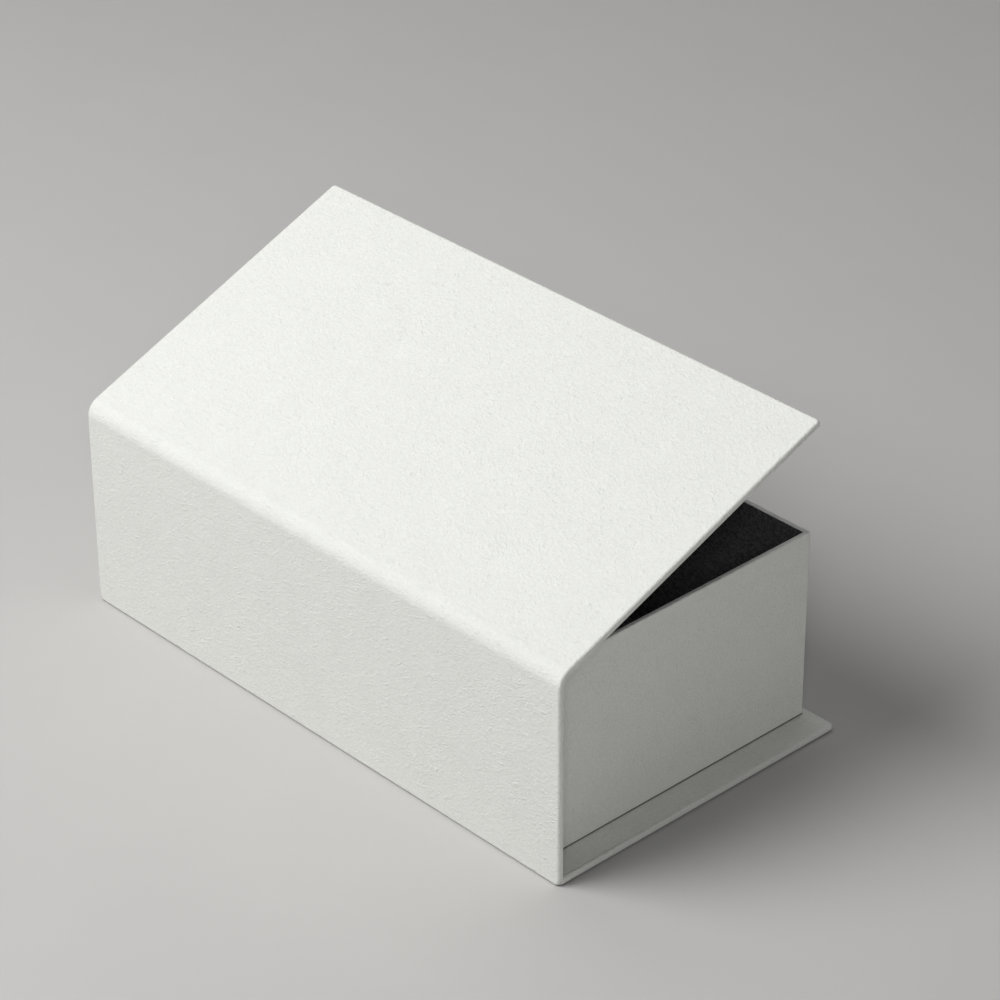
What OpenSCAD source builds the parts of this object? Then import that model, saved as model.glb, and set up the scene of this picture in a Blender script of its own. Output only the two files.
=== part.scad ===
// Book-style rigid box. A glued greyboard tray stands on the base of a case
// whose base, spine and lid boards are covered by one sheet of textured paper.
// The lid turns on a rounded strip of scored board along the top of the spine.
//
// The origin is the middle of the underside. X runs along the box, the spine
// faces -Y, and the free edge of the lid is towards +Y. Millimetres.

/* [Inside] */
// Length of the space inside the tray
inside_l = 244; // [120:1:320]
// Depth of the space inside the tray, from the hinge side to the front
inside_d = 139; // [80:1:200]
// Height of the space inside the tray
inside_h = 82; // [40:1:150]

/* [Boards] */
// Thickness of the greyboard in the base, the spine and the lid
case_board_t = 2.5; // [2:0.1:3]
// Thickness of the greyboard in the tray
tray_board_t = 1.5; // [1:0.1:2.5]

/* [Papers] */
// Thickness of the textured wrapping paper
wrap_t = 0.25; // [0.15:0.01:0.35]
// Thickness of the black lining paper
lining_t = 0.2; // [0.1:0.01:0.3]
// How far the wrapping paper is turned in over the case boards
case_turn_in = 18; // [16:0.5:24]
// How far the tray's wrap is turned in over the rim and under the floor
tray_turn_in = 15; // [8:0.5:20]
// How far the lid's liner stops short of the lid's edges
liner_margin = 4; // [2:0.5:8]
// How far below the rim the tray's lining stops
lining_drop = 0.4; // [0.2:0.1:2]

/* [Margins] */
// How far the base stands out past each end of the tray
end_margin = 13.4; // [6:0.1:15]
// How far the base stands out past the front of the tray
front_margin = 3.8; // [2:0.1:12]
// How far the lid stops behind the tray's front face
lid_setback = 2; // [0:0.1:3]

/* [Hinge] */
// Outer radius of the hinge's bend with the lid as shown
hinge_r = 7.8; // [6:0.1:12]
// Angle that the lid stands open
lid_angle = 22; // [5:1:60]
// How far the spine board rises above the tray's rim
spine_rise = 0.3; // [0.2:0.1:3]
// How far the hinge liner runs down behind the tray
liner_tail = 12; // [5:1:20]
// Number of V cuts across the inside of the hinge strip
kerf_n = 5; // [4:1:8]
// Opening left in each V cut with the lid as shown
kerf_gap = 0.3; // [0.2:0.05:0.6]
// Board left under each V cut
kerf_skin = 0.5; // [0.4:0.1:1]

/* [Edges] */
// Rounding of the wrapped edges of the case
edge_r = 1.1; // [0.6:0.1:1.5]
// Rounding of the free corners of the base and the lid, seen from above
corner_r = 1.8; // [1.2:0.1:4]
// Rounding of the tray's upright corners
tray_corner_r = 0.7; // [0.5:0.1:1.5]

/* [Hidden] */

// How far a cut runs past the face that it opens
overrun = 1;
// The most of the case's thickness that the rounding of an edge may take
edge_share = 0.46;

// Finishes
paper_white = [0.91, 0.92, 0.90];
board_grey = [0.58, 0.55, 0.50];
lining_black = [0.09, 0.09, 0.10];

// The wrapped case, and the rounding that it can carry
case_t = case_board_t + 2*wrap_t;
edge_round = min(edge_r, edge_share*case_t);

// Depths below the tray's outer face: to the inner face of its board, of the
// wrap turned in over the board, and of the lining over both
board_in = wrap_t + tray_board_t;
turned_in = board_in + wrap_t;
lined_in = turned_in + lining_t;

// The tray's outside, its floor board and its rim
tray_l = inside_l + 2*lined_in;
tray_d = inside_d + 2*lined_in;
floor_bottom = case_t + wrap_t;
floor_top = floor_bottom + tray_board_t;
rim_z = floor_top + lining_t + inside_h;
tray_turn_z = rim_z - tray_turn_in;
lining_top = rim_z - lining_drop;

// The base and the spine
case_l = tray_l + 2*end_margin;
case_d = case_t + lining_t + tray_d + front_margin;
back_y = -case_d/2;
front_y = case_d/2;
base_near_y = back_y + case_t;
spine_top = rim_z + spine_rise;

// Where the tray stands: its ends, its back and front, and its middle
tray_x = tray_l/2;
tray_back_y = base_near_y + lining_t;
tray_front_y = tray_back_y + tray_d;
tray_y = (tray_back_y + tray_front_y)/2;

// The hinge bends from the spine to the lid. The outer faces of the two would
// meet hinge_s past the ends of their boards, at the height case_h.
bend = 90 - lid_angle;
hinge_s = hinge_r*tan(bend/2);
case_h = spine_top + hinge_s;
hinge_in_r = hinge_r - case_t;
core_in_r = hinge_in_r + wrap_t;
kerf_depth = case_board_t - kerf_skin;

// Depth of the lid, from the line where its outer face would meet the spine's
lid_d = case_d - front_margin - lid_setback;

// Half lengths of the liners, and of the part that the turned-in wrap leaves
liner_x = case_l/2 - liner_margin;
middle_x = case_l/2 - case_turn_in;

// A block from one corner to the opposite one
module block(low, high)
{
    translate(low)
        cube(high - low);
}

// A rectangle with four rounded corners, centred on the origin
module rounded(w, h, r)
{
    square([w - 2*r, h], center = true);
    square([w, h - 2*r], center = true);
    for (x = [r - w/2, w/2 - r], y = [r - h/2, h/2 - r])
        translate([x, y])
            circle(r, $fn = 48);
}

// A rectangle whose two corners on the high side of X are rounded
module nosed(low, high, r)
{
    translate(low)
        square([high.x - low.x - r, high.y - low.y]);
    translate([low.x, low.y + r])
        square([high.x - low.x, high.y - low.y - 2*r]);
    for (y = [low.y + r, high.y - r])
        translate([high.x - r, y])
            circle(r, $fn = 48);
}

// A rectangle whose corner at low is rounded
module heeled(low, high, r)
{
    translate([low.x + r, low.y])
        square([high.x - low.x - r, high.y - low.y]);
    translate([low.x, low.y + r])
        square([high.x - low.x, high.y - low.y - r]);
    translate([low.x + r, low.y + r])
        circle(r, $fn = 48);
}

// The case seen from above, from near to far, with its two far corners rounded
module plan(near, far, inset)
{
    half_l = case_l/2 - inset;
    r = corner_r - inset;
    translate([-half_l, near])
        square([2*half_l, far - r - near]);
    translate([r - half_l, near])
        square([2*(half_l - r), far - near]);
    for (x = [r - half_l, half_l - r])
        translate([x, far - r])
            circle(r, $fn = 48);
}

// Runs a shape drawn in Y and Z along the whole length of the case
module along_case()
{
    rotate([90, 0, 90])
        linear_extrude(case_l + 2*overrun, center = true)
            children();
}

// The case cut across X, centred. It is drawn inset from the paper's outer
// face: by nothing for the paper, and by the paper's thickness for the board.
module case_section(inset)
{
    rounded(case_l - 2*inset, case_t - 2*inset, edge_round - inset);
}

// A wrapped panel lying between Z = 0 and case_t, square at its near edge and
// rounded at its far edge and both ends
module panel(near, far, inset)
{
    intersection() {
        translate([0, far, case_t/2])
            rotate([90, 0, 0])
                linear_extrude(far - near)
                    case_section(inset);
        along_case()
            nosed([near, inset], [far - inset, case_t - inset], edge_round - inset);
        linear_extrude(case_t)
            plan(near, far - inset, inset);
    }
}

// The spine, standing from the underside up to top, with its outer bottom
// edge and both ends rounded
module spine(top, inset)
{
    intersection() {
        translate([0, back_y + case_t/2, 0])
            linear_extrude(top)
                case_section(inset);
        along_case()
            heeled([back_y + inset, inset], [base_near_y - inset, top], edge_round - inset);
    }
}

// Places the lid, drawn flat with its outer face up at case_t and with the
// line where the outer faces of lid and spine would meet at Y = 0
module on_lid()
{
    translate([0, back_y, case_h])
        rotate([lid_angle, 0, 0])
            translate([0, 0, -case_t])
                children();
}

// Places what is drawn round the axis of the hinge's bend, which is Z there.
// The bend starts at the spine, where it turns away from X.
module round_bend()
{
    translate([0, back_y + hinge_r, spine_top])
        rotate([0, -90, 0])
            rotate([0, 0, -90])
                children();
}

// Sweeps a shape drawn in radius and X through the hinge's bend, from the
// spine to the lid
module bent()
{
    round_bend()
        rotate_extrude(angle = bend, $fn = 180)
            children();
}

// The case cut across the hinge, in radius and X
module hinge_section(inset)
{
    translate([hinge_r - case_t/2, 0])
        rotate(90)
            case_section(inset);
}

// One V cut of the hinge strip, pointing outwards at the start of the bend
module kerf()
{
    half = kerf_gap/2*(kerf_depth + overrun)/kerf_depth;
    foot = core_in_r - overrun;
    linear_extrude(case_l, center = true)
        polygon([[foot, -half], [core_in_r + kerf_depth, 0], [foot, half]]);
}

// The tray's outside, inset by a depth from its outer faces
module tray_block(inset, bottom, top)
{
    translate([0, tray_y, bottom])
        linear_extrude(top - bottom)
            rounded(tray_l - 2*inset, tray_d - 2*inset, tray_corner_r - inset);
}

// The space inside the tray that lies deeper than a depth from its outer faces
module tray_space(depth, bottom, top)
{
    block([depth - tray_x, tray_back_y + depth, bottom],
          [tray_x - depth, tray_front_y - depth, top]);
}

module base_board()
{
    color(board_grey)
        panel(base_near_y, front_y, wrap_t);
}

// The sheet under the base, over its edges and turned in round three sides
module base_wrap()
{
    color(paper_white)
        difference() {
            panel(base_near_y, front_y, 0);
            panel(base_near_y - overrun, front_y, wrap_t);
            block([-middle_x, base_near_y - overrun, case_t - wrap_t - overrun],
                  [middle_x, front_y - case_turn_in, case_t + overrun]);
        }
}

module spine_board()
{
    color(board_grey)
        spine(spine_top, wrap_t);
}

// The sheet over the spine, round the bottom fold and turned in at both ends
module spine_wrap()
{
    color(paper_white)
        difference() {
            spine(spine_top, 0);
            spine(spine_top + overrun, wrap_t);
            block([-middle_x, base_near_y - wrap_t - overrun, wrap_t],
                  [middle_x, base_near_y + overrun, spine_top + overrun]);
        }
}

// Board scored across its inside so that it bends between spine and lid
module hinge_core()
{
    color(board_grey)
        difference() {
            bent()
                hinge_section(wrap_t);
            for (i = [0 : kerf_n - 1])
                round_bend()
                    rotate([0, 0, bend*(i + 0.5)/kerf_n])
                        kerf();
        }
}

// The sheet over the hinge strip, turned in at both ends
module hinge_wrap()
{
    color(paper_white)
        bent()
            difference() {
                hinge_section(0);
                hinge_section(wrap_t);
                translate([hinge_in_r - overrun, -middle_x])
                    square([wrap_t + 2*overrun, 2*middle_x]);
            }
}

// The liner cut across the hinge, in radius and X: it lies over the turned-in
// wrap and fills between
module liner_section()
{
    translate([hinge_in_r - lining_t, -liner_x])
        square([lining_t, 2*liner_x]);
    translate([hinge_in_r, -middle_x])
        square([wrap_t, 2*middle_x]);
}

// The liner across the inside of the hinge, with its tail down behind the tray
module hinge_liner()
{
    color(lining_black) {
        bent()
            liner_section();
        translate([0, back_y + hinge_r, spine_top - liner_tail])
            linear_extrude(liner_tail)
                rotate(-90)
                    liner_section();
    }
}

module lid_board()
{
    color(board_grey)
        on_lid()
            panel(hinge_s, lid_d, wrap_t);
}

// The sheet over the lid, turned in round its free edge and both ends
module lid_wrap()
{
    color(paper_white)
        on_lid()
            difference() {
                panel(hinge_s, lid_d, 0);
                panel(hinge_s - overrun, lid_d, wrap_t);
                block([-middle_x, hinge_s - overrun, -overrun],
                      [middle_x, lid_d - case_turn_in, wrap_t + overrun]);
            }
}

// The liner inside the lid: it lies over the turned-in wrap and fills between
module lid_liner()
{
    color(lining_black)
        on_lid() {
            block([-liner_x, hinge_s, -lining_t],
                  [liner_x, lid_d - liner_margin, 0]);
            block([-middle_x, hinge_s, 0],
                  [middle_x, lid_d - case_turn_in, wrap_t]);
        }
}

module tray_floor()
{
    color(board_grey)
        tray_block(wrap_t, floor_bottom, floor_top);
}

// The front and back walls run the whole length of the tray
module long_wall(near)
{
    color(board_grey)
        intersection() {
            tray_block(wrap_t, floor_top, rim_z - wrap_t);
            block([-tray_x, near, case_t],
                  [tray_x, near + board_in, rim_z]);
        }
}

module tray_front()
{
    long_wall(tray_front_y - board_in);
}

module tray_back()
{
    long_wall(tray_back_y);
}

// The end walls stand between the front wall and the back wall
module end_wall(low_x)
{
    color(board_grey)
        block([low_x, tray_back_y + board_in, floor_top],
              [low_x + tray_board_t, tray_front_y - board_in, rim_z - wrap_t]);
}

module tray_left()
{
    end_wall(wrap_t - tray_x);
}

module tray_right()
{
    end_wall(tray_x - board_in);
}

// The sheet round the tray, turned in over the rim and under the floor
module tray_wrap()
{
    color(paper_white)
        difference() {
            tray_block(0, case_t, rim_z);
            tray_block(wrap_t, floor_bottom, tray_turn_z);
            difference() {
                tray_block(wrap_t, tray_turn_z - overrun, rim_z - wrap_t);
                tray_space(board_in, tray_turn_z - 2*overrun, rim_z);
            }
            tray_space(turned_in, tray_turn_z - overrun, rim_z + overrun);
            tray_space(tray_turn_in, case_t - overrun, floor_bottom + overrun);
        }
}

module lining_floor()
{
    color(lining_black)
        tray_space(lined_in, floor_top, floor_top + lining_t);
}

// A wall's lining, drawn inwards from the inner face of its board at Y = 0. It
// lies over the turned-in wrap, and fills down the board below it.
module wall_lining(lining_l, fill_l)
{
    color(lining_black) {
        block([-lining_l/2, wrap_t, floor_top],
              [lining_l/2, wrap_t + lining_t, lining_top]);
        block([-fill_l/2, 0, floor_top],
              [fill_l/2, wrap_t, tray_turn_z]);
    }
}

// The front and back linings run the whole length of the inside
module long_lining()
{
    wall_lining(tray_l - 2*turned_in, tray_l - 2*board_in);
}

module lining_front()
{
    translate([0, tray_front_y - board_in, 0])
        rotate(180)
            long_lining();
}

module lining_back()
{
    translate([0, tray_back_y + board_in, 0])
        long_lining();
}

// The end linings stand between the front and back ones
module end_lining()
{
    wall_lining(tray_d - 2*lined_in, tray_d - 2*turned_in);
}

module lining_left()
{
    translate([board_in - tray_x, tray_y, 0])
        rotate(-90)
            end_lining();
}

module lining_right()
{
    translate([tray_x - board_in, tray_y, 0])
        rotate(90)
            end_lining();
}

base_board();
base_wrap();
spine_board();
spine_wrap();
hinge_core();
hinge_wrap();
hinge_liner();
lid_board();
lid_wrap();
lid_liner();
tray_floor();
tray_front();
tray_back();
tray_left();
tray_right();
tray_wrap();
lining_floor();
lining_front();
lining_back();
lining_left();
lining_right();
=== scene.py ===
import math

import bmesh
import bpy
from mathutils import Matrix, Vector


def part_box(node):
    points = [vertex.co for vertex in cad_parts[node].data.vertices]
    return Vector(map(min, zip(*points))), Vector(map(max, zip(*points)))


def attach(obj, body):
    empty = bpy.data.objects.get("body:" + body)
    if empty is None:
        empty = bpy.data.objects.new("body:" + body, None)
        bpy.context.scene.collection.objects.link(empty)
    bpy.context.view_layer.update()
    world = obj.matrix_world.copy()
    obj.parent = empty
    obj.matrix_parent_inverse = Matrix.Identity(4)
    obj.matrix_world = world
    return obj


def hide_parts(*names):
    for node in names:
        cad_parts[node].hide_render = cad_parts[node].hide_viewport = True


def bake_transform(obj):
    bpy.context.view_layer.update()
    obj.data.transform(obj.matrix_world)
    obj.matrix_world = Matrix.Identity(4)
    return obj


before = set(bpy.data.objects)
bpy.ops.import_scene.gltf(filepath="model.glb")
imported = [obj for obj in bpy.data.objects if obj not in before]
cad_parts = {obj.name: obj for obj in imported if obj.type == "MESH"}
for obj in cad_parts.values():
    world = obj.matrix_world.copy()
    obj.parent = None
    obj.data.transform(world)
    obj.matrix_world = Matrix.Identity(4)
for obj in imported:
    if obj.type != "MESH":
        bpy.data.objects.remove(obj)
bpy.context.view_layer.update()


# The boards of base, spine, lid and tray are cut from greyboard, a stiff sheet
# rolled from waste paper. Paper is glued over every face that can be seen.

MM = 0.001


def linear(code):
    """The linear red, green, blue and alpha of an sRGB colour such as #ECEDE8."""
    parts = [int(code[i:i + 2], 16) / 255 for i in (1, 3, 5)]
    return [p / 12.92 if p <= 0.04045 else ((p + 0.055) / 1.055) ** 2.4 for p in parts] + [1]


def new_finish(name):
    """A material with no nodes in it yet."""
    made = bpy.data.materials.new(name)
    made.use_nodes = True
    made.node_tree.nodes.clear()
    return made


def add(finish, kind, inputs, output=0, **settings):
    """Adds a node, whose inputs take values or sockets, and returns one of its outputs."""
    made = finish.node_tree.nodes.new("ShaderNode" + kind)
    for name, value in settings.items():
        setattr(made, name, value)
    for name, value in inputs.items():
        if isinstance(value, bpy.types.NodeSocket):
            finish.node_tree.links.new(value, made.inputs[name])
        else:
            made.inputs[name].default_value = value
    return made.outputs[output] if made.outputs else None


# Greyboard: matt and dull, with flecks about 1.5 mm across from the papers it
# was pulped from
greyboard = new_finish("greyboard")
fleck_scale = 1 / (1.5 * MM)
place = add(greyboard, "TexCoord", {}, output="Object")
flecks = add(greyboard, "TexNoise",
             {"Vector": place, "Scale": fleck_scale, "Detail": 4, "Roughness": 0.7})
flecked = add(greyboard, "MixRGB",
              {"Fac": flecks, "Color1": linear("#857D70"), "Color2": linear("#A69D8F")})
pulp = add(greyboard, "Bump", {"Height": flecks, "Strength": 0.5, "Distance": 0.05 * MM})
board_face = add(greyboard, "BsdfPrincipled",
                 {"Base Color": flecked, "Roughness": 0.95, "Specular IOR Level": 0.2, "Normal": pulp})
add(greyboard, "OutputMaterial", {"Surface": board_face})

for name in ("base_board", "lid_board",
             "tray_floor", "tray_front", "tray_back", "tray_left", "tray_right"):
    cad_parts[name].material_slots[0].material = greyboard


# The case paper on the base and the spine is one sheet. It is glued round the
# boards and turned in 18 mm over their inner faces, with a mitre at each free
# corner. The two corners at the fold are worn a little rounder.

base_low, base_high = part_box("base_wrap")
spine_low, spine_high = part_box("spine_wrap")
half_l = base_high.x
case_t = base_high.z - base_low.z
back_y = spine_low.y
near_y = base_low.y
paper_t = 0.25 * MM
edge_r = 1.1 * MM
corner_r = 1.8 * MM
turn_in = 18 * MM
edge_steps = 6
corner_steps = 8
seam_half = 0.1 * MM
seam_depth = 0.08 * MM
worn_in = 0.9 * MM
worn_reach = 2.4 * MM
heel_steps = 24
weld = 0.01 * MM
crease = math.radians(32)


def turns(start, end, steps):
    """Even angles from start to end, given in degrees, as radians."""
    return [math.radians(start + (end - start) * i / steps) for i in range(steps + 1)]


def solid(name, points, faces, finish):
    """A closed piece from its points and faces, with smooth faces between its creases."""
    mesh = bpy.data.meshes.new(name)
    mesh.from_pydata([tuple(p) for p in points], [], faces)
    bm = bmesh.new()
    bm.from_mesh(mesh)
    bmesh.ops.remove_doubles(bm, verts=bm.verts, dist=weld)
    bmesh.ops.dissolve_degenerate(bm, edges=bm.edges, dist=weld)
    bmesh.ops.recalc_face_normals(bm, faces=bm.faces)
    bm.to_mesh(mesh)
    bm.free()
    mesh.shade_smooth()
    mesh.set_sharp_from_angle(angle=crease)
    mesh.materials.append(finish)
    piece = bpy.data.objects.new(name, mesh)
    bpy.context.scene.collection.objects.link(piece)
    flats = piece.modifiers.new("Flat faces stay flat", "WEIGHTED_NORMAL")
    flats.keep_sharp = True
    flats.weight = 100
    return piece


def sheet(name, outer, glued, faces, finish):
    """Paper from the points of its outer and glued sides, which share one list of faces."""
    count = len(outer)
    under = [[i + count for i in reversed(face)] for face in faces]
    edges = {(a, b) for face in faces for a, b in zip(face, face[1:] + face[:1])}
    cut = [[b, a, a + count, b + count] for a, b in sorted(edges) if (b, a) not in edges]
    return solid(name, outer + glued, faces + under + cut, finish)


def edge_profile(inset):
    """Steps round a covered edge, as distance in from the edge and depth below the outer face."""
    r = edge_r - inset
    arc = turns(0, 90, edge_steps)
    over = [(edge_r - r * math.sin(a), edge_r - r * math.cos(a)) for a in arc]
    back = [(edge_r - r * math.cos(a), case_t - edge_r + r * math.sin(a)) for a in arc]
    return over + back + [(corner_r, case_t - inset), (turn_in, case_t - inset)]


def flat_rib(y):
    """A line through the flat case: outer point, inner point, way inwards, wear at its ends."""
    return Vector((y, 0)), Vector((y, case_t)), Vector((0, 1)), 0


def spine_rib(z):
    """A line through the spine."""
    return Vector((back_y, z)), Vector((near_y, z)), Vector((1, 0)), 0


def heel_rib(along):
    """A line through the fold of base and spine, along being its place up from the middle."""
    turned = min(max(along / edge_r, -math.pi / 4), math.pi / 4)
    way = Vector((math.sin(math.pi / 4 + turned), math.cos(math.pi / 4 + turned)))
    past = along - turned * edge_r
    outer = Vector((back_y + edge_r + max(-past, 0), edge_r + max(past, 0))) - way * edge_r
    worn = worn_in * math.cos(math.pi / 2 * along / worn_reach) ** 2
    return outer, Vector((near_y, case_t)), way, worn


def rib_row(side, rib, profile):
    """The profile's points at one end of the case, side being -1 or 1."""
    outer, inner, way, worn = rib
    row = []
    for inward, depth in profile:
        on_face = depth < case_t / 2
        at = outer + way * depth if on_face else inner - way * (case_t - depth)
        x = half_l - inward - (worn if on_face else 0)
        row.append(Vector((side * x, at.x, at.y)))
    return row


def corner_row(side, free_y, angle, profile, seam):
    """The profile's points at a free corner, turned by angle from the end to the free edge."""
    off_seam = math.copysign(seam_half, math.pi / 4 - angle)
    on_seam = math.isclose(angle, math.pi / 4)
    row = []
    for inward, depth in profile:
        reach = max(corner_r - inward, 0)
        inset = max(corner_r, inward)
        x = half_l - inset + reach * math.cos(angle)
        y = free_y - inset + reach * math.sin(angle)
        if inward >= corner_r and not on_seam:
            x += off_seam
            y -= off_seam
        if inward >= corner_r and on_seam:
            depth -= seam
        row.append(Vector((side * x, y, depth)))
    return row


def case_rows(ribs, free_y, inset, seam):
    """Rows of points round both ends of a length of case, and round its free edge if it has one."""
    profile = edge_profile(inset)
    rows = [rib_row(-1, rib, profile) for rib in ribs]
    if free_y is not None:
        corner = turns(0, 90, corner_steps)
        middle = half_l - 2 * turn_in
        rows += [corner_row(-1, free_y, a, profile, seam) for a in corner]
        rows += [[Vector((x, free_y - inward, depth)) for inward, depth in profile]
                 for x in (-middle, middle)]
        rows += [corner_row(1, free_y, a, profile, seam) for a in reversed(corner)]
    return rows + [rib_row(1, rib, profile) for rib in reversed(ribs)]


def case_paper(name, ribs, free_y, at, finish):
    """The sheet over a length of case: its outer face, its edges and what is turned in."""
    outer = case_rows(ribs, free_y, 0, seam_depth)
    glued = case_rows(ribs, free_y, paper_t, 0)
    rows = len(outer)
    wide = len(outer[0])
    far = len(ribs) - 1
    faces = []
    for j in range(rows - 1):
        if free_y is None and j == far:
            continue
        for i in range(wide - 1):
            low = j * wide + i
            faces.append([low, low + 1, low + wide + 1, low + wide])
    for j in range(far):
        faces.append([j * wide, (j + 1) * wide, (rows - 2 - j) * wide, (rows - 1 - j) * wide])
    if free_y is not None:
        faces.append([j * wide for j in range(far, rows - far)])
    points = [[at @ p for row in side for p in row] for side in (outer, glued)]
    return sheet(name, points[0], points[1], faces, finish)


# Felt-marked paper: off-white and matt. The felts of the paper machine leave
# soft marks about 1 mm wide and half as long again, which lie along the box.
# Where two sheets meet, the crease between them is darkened with painted shade.
felt_paper = new_finish("felt_marked_paper")
fibre = 1.0 * MM
place = add(felt_paper, "TexCoord", {}, output="Object")
laid = add(felt_paper, "Mapping", {"Vector": place, "Scale": (0.65, 1, 1)})
felt = add(felt_paper, "TexNoise",
           {"Vector": laid, "Scale": 1 / fibre, "Detail": 3, "Roughness": 0.6, "Distortion": 0.8})
cloud = add(felt_paper, "TexNoise", {"Vector": place, "Scale": 1 / (14 * MM), "Detail": 2})
marks = add(felt_paper, "MixRGB",
            {"Fac": felt, "Color1": linear("#E3E4DF"), "Color2": linear("#F7F8F3")})
shade = add(felt_paper, "MixRGB",
            {"Fac": cloud, "Color1": linear("#FAFAFA"), "Color2": linear("#FFFFFF")})
clean = add(felt_paper, "MixRGB", {"Fac": 1, "Color1": marks, "Color2": shade}, blend_type="MULTIPLY")
# Painted shade: within 1.2 mm of another surface the colour darkens towards #5A5A57, in creases and
# corners where shade falls.
gap = add(felt_paper, "AmbientOcclusion", {"Distance": 1.2 * MM}, output="AO", samples=8)
painted_shade_mask = add(felt_paper, "MapRange", {"Value": gap, "From Min": 0.35, "From Max": 0.8})
tone_and_painted_shade = add(felt_paper, "MixRGB", {"Fac": painted_shade_mask, "Color1": linear("#5A5A57"), "Color2": clean})
strands = add(felt_paper, "TexNoise",
              {"Vector": laid, "Scale": 1 / (1.8 * fibre), "Detail": 1, "Distortion": 1.2},
              noise_type="RIDGED_MULTIFRACTAL")
relief = add(felt_paper, "MixRGB", {"Fac": 0.45, "Color1": felt, "Color2": strands})
tooth = add(felt_paper, "Bump", {"Height": relief, "Strength": 1, "Distance": 0.62 * MM})
paper_face = add(felt_paper, "BsdfPrincipled",
                 {"Base Color": tone_and_painted_shade, "Roughness": 0.85, "Specular IOR Level": 0.25, "Normal": tooth})
add(felt_paper, "OutputMaterial", {"Surface": paper_face})

spine_ribs = [spine_rib(spine_high.z), spine_rib(case_t)]
spine_ribs += [heel_rib(worn_reach * (1 - 2 * i / heel_steps)) for i in range(heel_steps + 1)]
spine_ribs.append(flat_rib(near_y))
base_ribs = spine_ribs + [flat_rib(base_high.y - 2 * turn_in)]
case_sheet = case_paper("case_paper_base_spine", base_ribs, base_high.y, Matrix.Identity(4), felt_paper)
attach(case_sheet, "box")
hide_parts("base_wrap", "spine_wrap")


# The spine's board is a strip of the same greyboard. It stands on its long
# edge behind the tray, glued to the paper, with the same two worn corners.

def swept(name, loops, finish):
    """A solid through closed loops of points, filled at both ends."""
    size = len(loops[0])
    faces = [list(range(size)), [(len(loops) - 1) * size + i for i in reversed(range(size))]]
    for j in range(len(loops) - 1):
        for i in range(size):
            k = (i + 1) % size
            faces.append([j * size + i, j * size + k, (j + 1) * size + k, (j + 1) * size + i])
    return solid(name, [p for loop in loops for p in loop], faces, finish)


def board_loop(rib, section):
    """Round the board at one rib, section being its edge as edge_profile gives it."""
    return rib_row(-1, rib, section) + rib_row(1, rib, section)[::-1]


spine_loops = [board_loop(rib, edge_profile(paper_t)) for rib in spine_ribs]
spine_board = swept("spine_greyboard", spine_loops, greyboard)
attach(spine_board, "box")
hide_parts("spine_board")


# The hinge is a strip of the same board between spine and lid. It is scored
# with V cuts across its inside, so that it bends round instead of folding.

lid_angle = math.radians(22)
bend = math.pi / 2 - lid_angle
hinge_r = 7.8 * MM
hinge_y = back_y + hinge_r
hinge_z = spine_high.z
cut_count = 5
cut_half = 0.15 * MM
cut_skin = 0.5 * MM
strip_steps = 30


def hinge_rib(angle):
    """A line through the hinge, turned by angle from the spine."""
    way = Vector((math.cos(angle), -math.sin(angle)))
    middle = Vector((hinge_y, hinge_z))
    return middle - way * hinge_r, middle - way * (hinge_r - case_t), way, 0


def bends_with_lid(piece):
    """Bakes the piece's placement into its points. The hinge is built in its bent shape, between the
    inner corner of the spine and the inner corner of the lid.
    """
    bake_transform(piece)


cut_angle = cut_half / (hinge_r - case_t)
cuts = [bend * (i + 0.5) / cut_count for i in range(cut_count)]
strip_angles = turns(0, math.degrees(bend), strip_steps)
strip_angles += [cut + side * cut_angle for cut in cuts for side in (-1, 0, 1)]
strip_loops = []
for angle in sorted(strip_angles):
    in_cut = any(abs(angle - cut) < cut_angle / 2 for cut in cuts)
    floor = paper_t + cut_skin if in_cut else case_t
    section = [(inward, min(depth, floor)) for inward, depth in edge_profile(paper_t)]
    strip_loops.append(board_loop(hinge_rib(angle), section))
hinge_board = swept("hinge_board", strip_loops, greyboard)
bends_with_lid(hinge_board)
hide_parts("hinge_core")


# The case paper runs on over the hinge strip without a joint, and is turned in
# over both ends of it. It carries the lid.

hinge_steps = 36
hinge_ribs = [hinge_rib(a) for a in turns(0, math.degrees(bend), hinge_steps)]
hinge_paper = case_paper("case_paper_hinge", hinge_ribs, None, Matrix.Identity(4), felt_paper)
bends_with_lid(hinge_paper)
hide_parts("hinge_wrap")


# The same sheet covers the lid. It is glued to the lid's board and turned in
# round its free edge and both ends, with a mitre at each corner.

tray_low, tray_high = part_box("tray_wrap")
lid_setback = 2 * MM
hinge_s = hinge_r * math.tan(bend / 2)
lid_d = tray_high.y - lid_setback - back_y
on_lid = (Matrix.Translation((0, back_y, hinge_z + hinge_s))
          @ Matrix.Rotation(lid_angle, 4, "X")
          @ Matrix.Diagonal((1, 1, -1, 1)))
lid_ribs = [flat_rib(hinge_s), flat_rib(lid_d - 2 * turn_in)]
lid_paper = case_paper("case_paper_lid", lid_ribs, lid_d, on_lid, felt_paper)
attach(lid_paper, "lid")
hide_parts("lid_wrap")


# The lid's liner is black paper glued over the inside of the lid and the hinge
# and down behind the tray. The edge of the turned-in paper shows through it.

liner_t = 0.2 * MM
liner_margin = 4 * MM
liner_tail = 12 * MM
ridge_w = 2 * MM
ridge_h = 0.16 * MM
ridge_steps = 6


def soft_step(share):
    """Rises smoothly from 0 to 1."""
    share = min(max(share, 0), 1)
    return share * share * (3 - 2 * share)


def liner_loop(rib, dip):
    """Round the liner at one rib, dip being how far it sinks between the turned-in edges."""
    inwards = [liner_margin] + [turn_in + ridge_w * i / ridge_steps for i in range(ridge_steps + 1)]
    face = [(d, case_t + liner_t - dip * soft_step((d - turn_in) / ridge_w)) for d in inwards]
    back = [(d, depth - liner_t) for d, depth in face]
    front = rib_row(-1, rib, face) + rib_row(1, rib, face)[::-1]
    return front + rib_row(1, rib, back) + rib_row(-1, rib, back)[::-1]


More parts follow.
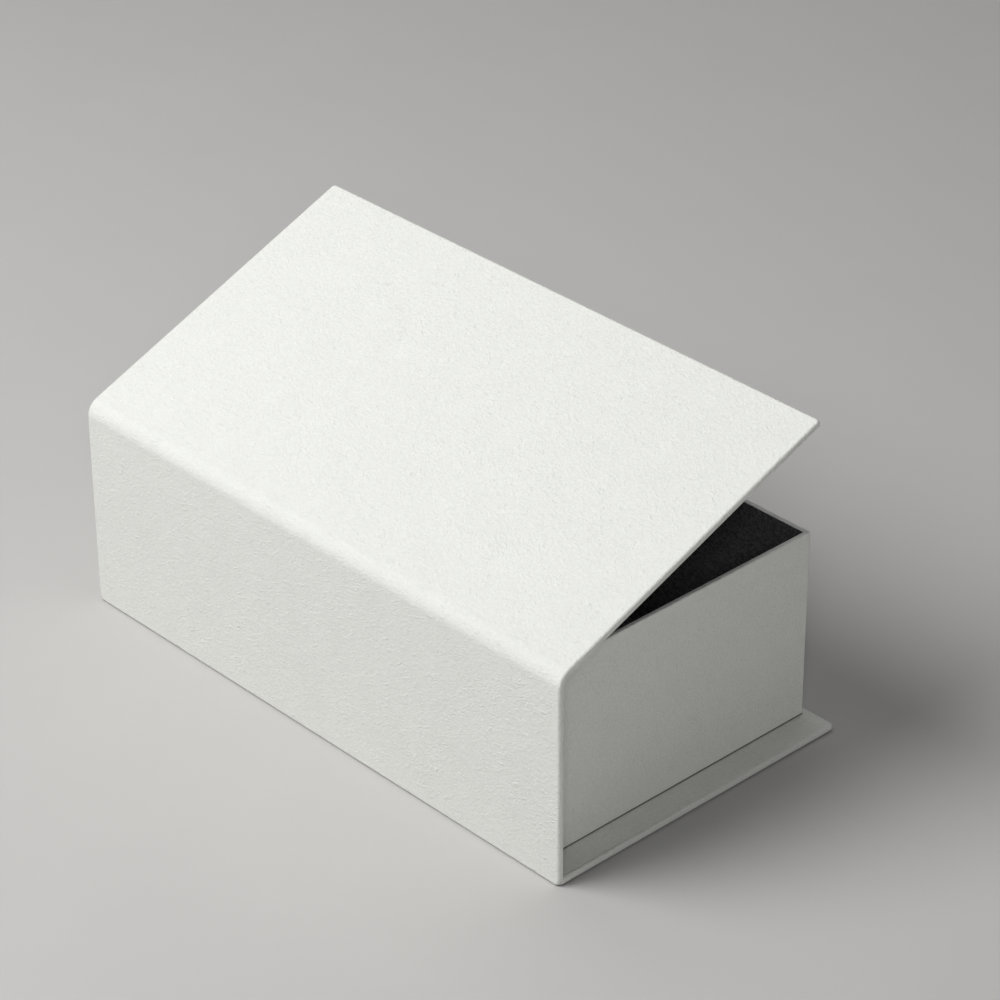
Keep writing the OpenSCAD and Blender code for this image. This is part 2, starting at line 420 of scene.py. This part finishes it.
# Black lining paper: dyed through and matt, with a faint horizontal grain of
# marks about 0.5 mm high, coarser than the real one so that it shows
black_paper = new_finish("black_lining_paper")
place = add(black_paper, "TexCoord", {}, output="Object")
drawn = add(black_paper, "Mapping", {"Vector": place, "Scale": (0.45, 0.45, 1)})
drift = add(black_paper, "TexNoise",
            {"Vector": drawn, "Scale": 1 / (0.5 * MM), "Detail": 2, "Roughness": 0.6})
grain = add(black_paper, "MapRange", {"Value": drift, "From Min": 0.36, "From Max": 0.64})
black_tone = add(black_paper, "MixRGB",
                 {"Fac": grain, "Color1": linear("#282829"), "Color2": linear("#727274")})
black_tooth = add(black_paper, "Bump", {"Height": grain, "Strength": 0.8, "Distance": 0.12 * MM})
black_face = add(black_paper, "BsdfPrincipled",
                 {"Base Color": black_tone, "Roughness": 0.7, "Specular IOR Level": 0.5,
                  "Sheen Weight": 0.25, "Sheen Roughness": 0.5, "Normal": black_tooth})
add(black_paper, "OutputMaterial", {"Surface": black_face})

far_y = lid_d - turn_in
liner_places = [(hinge_s, ridge_h), (far_y - 2 * ridge_w, ridge_h)]
for i in range(ridge_steps + 1):
    share = i / ridge_steps
    liner_places.append((far_y - ridge_w * (1 - share), ridge_h * soft_step(1 - share)))
liner_places.append((lid_d - liner_margin, 0))
lid_loops = [[on_lid @ p for p in liner_loop(flat_rib(y), dip)] for y, dip in liner_places]
lid_liner = swept("lid_liner_sheet", lid_loops, black_paper)
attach(lid_liner, "lid")
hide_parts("lid_liner")

tail_ribs = [spine_rib(hinge_z - liner_tail), spine_rib(hinge_z - liner_tail / 2)]
hinge_loops = [liner_loop(rib, ridge_h) for rib in tail_ribs + hinge_ribs]
hinge_liner = swept("hinge_liner_sheet", hinge_loops, black_paper)
bends_with_lid(hinge_liner)
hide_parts("hinge_liner")


# The tray's paper is one band glued round the four walls, turned in 15 mm over
# the rim and 15 mm under the floor. The tray is glued to the base and spine.

tray_turn_in = 15 * MM
tray_board_t = 1.5 * MM
tray_corner_r = 0.7 * MM
foot_r = 0.5 * MM
rim_outer_r = 0.6 * MM
rim_inner_r = 0.45 * MM
foot_steps = 4
rim_outer_steps = 6
rim_inner_steps = 5
upright_steps = 6
wall_t = tray_board_t + 2 * paper_t
tray_middle = (tray_low + tray_high) / 2
tray_half = (tray_high - tray_low) / 2


def wall_profile(inset):
    """Up the tray's wall and over its rim, as distance in from the outer face and height."""
    foot = foot_r - inset
    out = rim_outer_r - inset
    back = rim_inner_r - inset
    low = tray_low.z
    top = tray_high.z
    steps = [(tray_turn_in, low + inset)]
    steps += [(foot_r - foot * math.sin(a), low + foot_r - foot * math.cos(a))
              for a in turns(0, 90, foot_steps)]
    steps += [(rim_outer_r - out * math.cos(a), top - rim_outer_r + out * math.sin(a))
              for a in turns(0, 90, rim_outer_steps)]
    steps += [(wall_t - rim_inner_r + back * math.sin(a), top - rim_inner_r + back * math.cos(a))
              for a in turns(0, 90, rim_inner_steps)]
    return steps + [(wall_t - inset, top - tray_turn_in)]


def tray_rows(profile):
    """Rows of points round the tray, through its four upright corners."""
    rows = []
    for quarter, (side_x, side_y) in enumerate([(1, 1), (-1, 1), (-1, -1), (1, -1)]):
        for a in turns(90 * quarter, 90 * quarter + 90, upright_steps):
            row = []
            for inward, z in profile:
                reach = max(tray_corner_r - inward, 0)
                inset = max(tray_corner_r, inward)
                x = side_x * (tray_half.x - inset) + reach * math.cos(a)
                y = side_y * (tray_half.y - inset) + reach * math.sin(a)
                row.append(Vector((tray_middle.x + x, tray_middle.y + y, z)))
            rows.append(row)
    return rows


tray_outer = tray_rows(wall_profile(0))
tray_glued = tray_rows(wall_profile(paper_t))
tall = len(tray_outer[0])
tray_faces = []
for j in range(len(tray_outer)):
    k = (j + 1) % len(tray_outer)
    for i in range(tall - 1):
        tray_faces.append([j * tall + i, j * tall + i + 1, k * tall + i + 1, k * tall + i])
tray_paper = sheet("tray_paper", [p for row in tray_outer for p in row],
                   [p for row in tray_glued for p in row], tray_faces, felt_paper)
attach(tray_paper, "box")
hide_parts("tray_wrap")


# The tray is lined with five pieces of the black paper. Those on the walls stop
# just below the rim and cover the turned-in paper, whose edge shows as a step.

lining_t = 0.2 * MM
lining_drop = 0.4 * MM
step_h = 1.2 * MM
lined_t = wall_t + lining_t
floor_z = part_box("tray_floor")[1].z


def wall_lining(name, angle, reach, half_run):
    """Lining on the wall whose outer face is reach from the tray's middle, turned by angle."""
    turn_z = tray_high.z - tray_turn_in
    heights = [floor_z]
    heights += [turn_z - step_h * (1 - i / ridge_steps) for i in range(ridge_steps + 1)]
    heights.append(tray_high.z - lining_drop)
    face = [(lined_t - ridge_h * soft_step((turn_z - z) / step_h), z) for z in heights]
    back = [(inward - lining_t, z) for inward, z in face]
    to_wall = Matrix.Translation((tray_middle.x, tray_middle.y, 0)) @ Matrix.Rotation(angle, 4, "Z")
    loops = [[to_wall @ Vector((x, reach - inward, z)) for inward, z in face + back[::-1]]
             for x in (-half_run, half_run)]
    piece = swept(name + "_sheet", loops, black_paper)
    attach(piece, "box")
    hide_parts(name)


long_run = tray_half.x - wall_t
end_run = tray_half.y - lined_t
wall_lining("lining_front", 0, tray_half.y, long_run)
wall_lining("lining_back", math.pi, tray_half.y, long_run)
wall_lining("lining_left", math.pi / 2, tray_half.x, end_run)
wall_lining("lining_right", -math.pi / 2, tray_half.x, end_run)
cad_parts["lining_floor"].material_slots[0].material = black_paper


# The box stands on a pale painted table top. The main lamp is large, soft and
# high over the spine. Weaker ones stand behind the box and at its open end,
# and the pale room adds a little even light. Far off the table stays pale.

table_paint = new_finish("matt_pale_table_paint")
place = add(table_paint, "TexCoord", {}, output="Object")
roller = add(table_paint, "TexNoise", {"Vector": place, "Scale": 1 / (60 * MM), "Detail": 2})
painted = add(table_paint, "MixRGB",
              {"Fac": roller, "Color1": linear("#C6C5C3"), "Color2": linear("#C9C8C6")})
table_face = add(table_paint, "BsdfPrincipled",
                 {"Base Color": painted, "Roughness": 0.9, "Specular IOR Level": 0.1})
reach = add(table_paint, "VectorMath", {"Vector": place}, output="Value", operation="LENGTH")
far_off = add(table_paint, "MapRange", {"Value": reach, "From Min": 0.7, "From Max": 1.8},
              interpolation_type="SMOOTHSTEP")
looked_at = add(table_paint, "LightPath", {})
faded = add(table_paint, "Math", {0: far_off, 1: looked_at}, operation="MULTIPLY")
pale_distance = add(table_paint, "Emission", {"Color": linear("#C4C3C1"), "Strength": 1})
table_finish = add(table_paint, "MixShader", {"Fac": faded, 1: table_face, 2: pale_distance})
add(table_paint, "OutputMaterial", {"Surface": table_finish})
table_half = 4.0
table_gap = 0.02 * MM
table_z = base_low.z - table_gap
table_mesh = bpy.data.meshes.new("table_top")
table_mesh.from_pydata([(x, y, table_z) for x, y in
                        ((-table_half, -table_half), (table_half, -table_half),
                         (table_half, table_half), (-table_half, table_half))], [], [(0, 1, 2, 3)])
table_mesh.materials.append(table_paint)
table = bpy.data.objects.new("table_top", table_mesh)
bpy.context.scene.collection.objects.link(table)


def soft_lamp(name, azimuth, elevation, distance, size, power):
    """A round soft lamp aimed at the box, its place given as the camera's is."""
    a = math.radians(azimuth)
    e = math.radians(elevation)
    way = Vector((math.sin(a) * math.cos(e), -math.cos(a) * math.cos(e), math.sin(e)))
    data = bpy.data.lights.new(name, "AREA")
    data.shape = "DISK"
    data.size = size
    data.energy = power
    lamp = bpy.data.objects.new(name, data)
    lamp.location = way * distance
    lamp.rotation_mode = "QUATERNION"
    lamp.rotation_quaternion = way.to_track_quat("Z", "Y")
    lamp.visible_camera = False
    bpy.context.scene.collection.objects.link(lamp)


soft_lamp("over_the_spine", azimuth=-31, elevation=51.5, distance=1.8, size=1.3, power=29.1)
soft_lamp("over_the_back", azimuth=225, elevation=66, distance=1.8, size=1.3, power=4.5)
soft_lamp("into_the_open_end", azimuth=47, elevation=33.5, distance=1.87, size=0.35, power=4.2)
soft_lamp("low_at_the_end", azimuth=85, elevation=8, distance=3.6, size=0.9, power=10.6)

room = bpy.data.worlds.new("pale_room")
room.use_nodes = True
room.node_tree.nodes.clear()
seen = add(room, "LightPath", {})
dim_room = add(room, "Background", {"Color": linear("#FFFFFF"), "Strength": 0.03})
pale_wall = add(room, "Background", {"Color": linear("#D8D7D5"), "Strength": 0.8})
backdrop = add(room, "MixShader", {"Fac": seen, 1: dim_room, 2: pale_wall})
add(room, "OutputWorld", {"Surface": backdrop})
bpy.context.scene.world = room


# The camera stands where the photograph was taken from, found from the edges
# of the box: a long lens, 47 degrees round from the spine and 31 degrees up.

view_azimuth = math.radians(47.03)
view_elevation = math.radians(30.87)
view_roll = math.radians(-0.285)
view_distance = 1504.6 * MM
view_right = 17.54 * MM
view_up = 65.77 * MM
focal_share = 3.7162
back = Vector((math.sin(view_azimuth) * math.cos(view_elevation),
               -math.cos(view_azimuth) * math.cos(view_elevation),
               math.sin(view_elevation)))
level = Vector((math.cos(view_azimuth), math.sin(view_azimuth), 0))
upright = back.cross(level)
right = level * math.cos(view_roll) + upright * math.sin(view_roll)
up = upright * math.cos(view_roll) - level * math.sin(view_roll)
camera_data = bpy.data.cameras.new("camera")
camera_data.sensor_width = 36
camera_data.lens = focal_share * camera_data.sensor_width
camera_data.clip_start = 0.05
camera_data.clip_end = 20
camera = bpy.data.objects.new("camera", camera_data)
at = back * view_distance + right * view_right + up * view_up
camera.matrix_world = Matrix.Translation(at) @ Matrix((right, up, back)).transposed().to_4x4()
bpy.context.scene.collection.objects.link(camera)
bpy.context.scene.camera = camera
bpy.context.scene.view_settings.view_transform = "Standard"
